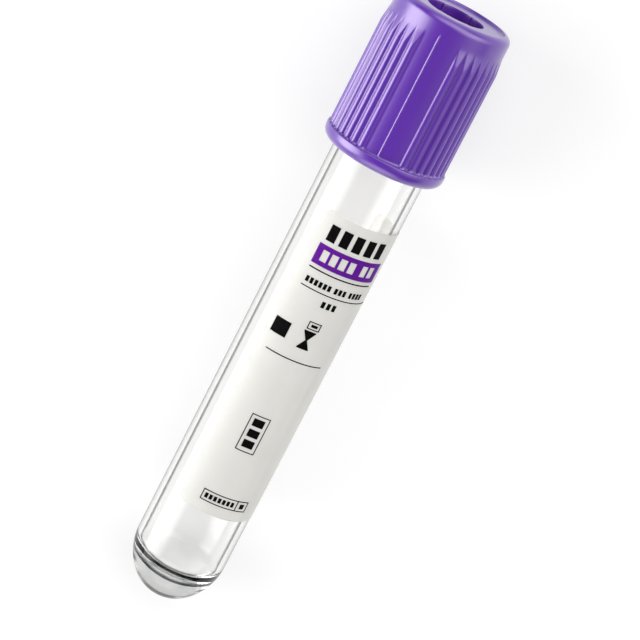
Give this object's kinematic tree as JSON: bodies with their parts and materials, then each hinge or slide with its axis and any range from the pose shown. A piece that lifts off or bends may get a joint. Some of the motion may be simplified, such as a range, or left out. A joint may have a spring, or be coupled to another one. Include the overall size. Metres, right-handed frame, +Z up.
{
  "type": "blood collection tube",
  "caption": "Round-ended clear tube lying on its side, with a wrapped label and a ribbed violet cap over a rubber stopper that pulls off.",
  "frame": {"origin": "under the middle of the part, on the surface that it lies on", "axes": "+X towards the cap, within two degrees of the tube's axis, which rises towards the cap; +Z up, the printed side looks up; +Y across"},
  "size_m": [0.0866, 0.0164, 0.0165],
  "materials": {
    "glass": "clear, fire polished",
    "stopper_rubber": "matt moulded rubber",
    "cap_plastic": "satin moulded plastic",
    "label_film": "semi-matt film",
    "ink_violet": "printed",
    "ink_black": "printed"
  },
  "bodies": {
    "tube": {"tube": "glass", "label": "label_film", "ink_violet": "ink_violet", "ink_black": "ink_black"},
    "closure": {"cap": "cap_plastic", "stopper": "stopper_rubber"}
  },
  "joints": [
    {"name": "closure_pull", "type": "slide", "parent": "tube", "child": "closure", "axis": [0.9995, 0, 0.0327], "range_m": [0, 0.025]}
  ]
}
